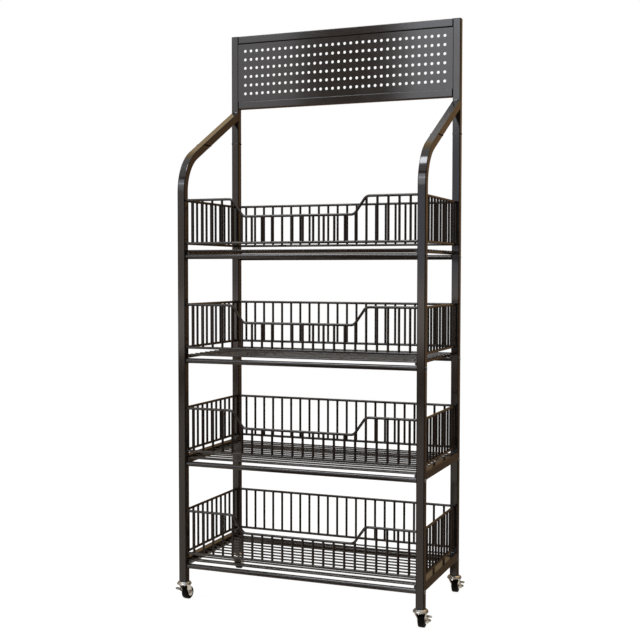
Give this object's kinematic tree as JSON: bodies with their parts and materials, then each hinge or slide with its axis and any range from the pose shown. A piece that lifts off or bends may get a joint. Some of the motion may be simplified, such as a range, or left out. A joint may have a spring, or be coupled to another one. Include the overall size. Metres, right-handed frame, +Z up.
{
  "type": "display shelving unit",
  "caption": "Free-standing supermarket rack: square-tube frame, wire decks with dipped front guards, a perforated header and braked swivel casters.",
  "frame": {"origin": "on the floor, under the middle of the outline", "axes": "+X to the right across the rack as a shopper faces it, +Y from the open front to the back, +Z up"},
  "size_m": [0.8412, 0.4434, 1.8338],
  "materials": {
    "coat": "semi-gloss dark charcoal powder coat",
    "zinc": "bright zinc plating",
    "plastic": "black moulded plastic",
    "tread": "black moulded wheel"
  },
  "bodies": {
    "rack": {"front_upright_left": "coat", "front_upright_right": "coat", "brace_left": "coat", "brace_right": "coat", "rear_upright_left": "coat", "rear_upright_right": "coat", "rear_post_top_left": "coat", "rear_post_top_right": "coat", "tube_spigots": "zinc", "header_top_rail": "coat", "header_bottom_rail": "coat", "header_panel": "coat", "post_caps": "plastic", "foot_inserts": "plastic", "lower_rungs": "coat", "rail_bolts": "zinc", "front_rail_1": "coat", "front_rail_2": "coat", "front_rail_3": "coat", "front_rail_4": "coat", "back_rail_1": "coat", "back_rail_2": "coat", "back_rail_3": "coat", "back_rail_4": "coat", "shelf_deck_1": "coat", "shelf_deck_2": "coat", "shelf_deck_3": "coat", "shelf_deck_4": "coat", "front_guard_1": "coat", "front_guard_2": "coat", "front_guard_3": "coat", "front_guard_4": "coat", "back_guard_1": "coat", "back_guard_2": "coat", "back_guard_3": "coat", "back_guard_4": "coat", "left_guard_1": "coat", "left_guard_2": "coat", "left_guard_3": "coat", "left_guard_4": "coat", "right_guard_1": "coat", "right_guard_2": "coat", "right_guard_3": "coat", "right_guard_4": "coat", "caster_mount_front_left": "zinc", "caster_mount_front_right": "zinc", "caster_mount_rear_left": "zinc", "caster_mount_rear_right": "zinc"},
    "fork_front_left": {"caster_fork_front_left": "zinc"},
    "wheel_front_left": {"caster_wheel_front_left": "tread"},
    "brake_front_left": {"caster_brake_front_left": "zinc"},
    "fork_front_right": {"caster_fork_front_right": "zinc"},
    "wheel_front_right": {"caster_wheel_front_right": "tread"},
    "brake_front_right": {"caster_brake_front_right": "zinc"},
    "fork_rear_left": {"caster_fork_rear_left": "zinc"},
    "wheel_rear_left": {"caster_wheel_rear_left": "tread"},
    "brake_rear_left": {"caster_brake_rear_left": "zinc"},
    "fork_rear_right": {"caster_fork_rear_right": "zinc"},
    "wheel_rear_right": {"caster_wheel_rear_right": "tread"},
    "brake_rear_right": {"caster_brake_rear_right": "zinc"}
  },
  "joints": [
    {"name": "swivel_front_left", "type": "hinge", "parent": "rack", "child": "fork_front_left", "pos_m": [-0.3875, -0.19875, 0.05], "axis": [0, 0, 1], "continuous": true},
    {"name": "roll_front_left", "type": "hinge", "parent": "fork_front_left", "child": "wheel_front_left", "pos_m": [-0.38464, -0.1825, 0.02], "axis": [0.9848, -0.1736, 0], "continuous": true},
    {"name": "brake_front_left", "type": "hinge", "parent": "fork_front_left", "child": "brake_front_left", "pos_m": [-0.38464, -0.1825, 0.02], "axis": [0.9848, -0.1736, 0], "range_deg": [-20, 0]},
    {"name": "swivel_front_right", "type": "hinge", "parent": "rack", "child": "fork_front_right", "pos_m": [0.3875, -0.19875, 0.05], "axis": [0, 0, 1], "continuous": true},
    {"name": "roll_front_right", "type": "hinge", "parent": "fork_front_right", "child": "wheel_front_right", "pos_m": [0.3875, -0.18225, 0.02], "axis": [1, 0, 0], "continuous": true},
    {"name": "brake_front_right", "type": "hinge", "parent": "fork_front_right", "child": "brake_front_right", "pos_m": [0.3875, -0.18225, 0.02], "axis": [1, 0, 0], "range_deg": [0, 20]},
    {"name": "swivel_rear_left", "type": "hinge", "parent": "rack", "child": "fork_rear_left", "pos_m": [-0.3875, 0.18525, 0.05], "axis": [0, 0, 1], "continuous": true},
    {"name": "roll_rear_left", "type": "hinge", "parent": "fork_rear_left", "child": "wheel_rear_left", "pos_m": [-0.3875, 0.20175, 0.02], "axis": [1, 0, 0], "continuous": true},
    {"name": "brake_rear_left", "type": "hinge", "parent": "fork_rear_left", "child": "brake_rear_left", "pos_m": [-0.3875, 0.20175, 0.02], "axis": [1, 0, 0], "range_deg": [0, 20]},
    {"name": "swivel_rear_right", "type": "hinge", "parent": "rack", "child": "fork_rear_right", "pos_m": [0.3875, 0.18525, 0.05], "axis": [0, 0, 1], "continuous": true},
    {"name": "roll_rear_right", "type": "hinge", "parent": "fork_rear_right", "child": "wheel_rear_right", "pos_m": [0.3875, 0.20175, 0.02], "axis": [1, 0, 0], "continuous": true},
    {"name": "brake_rear_right", "type": "hinge", "parent": "fork_rear_right", "child": "brake_rear_right", "pos_m": [0.3875, 0.20175, 0.02], "axis": [1, 0, 0], "range_deg": [0, 20]}
  ]
}
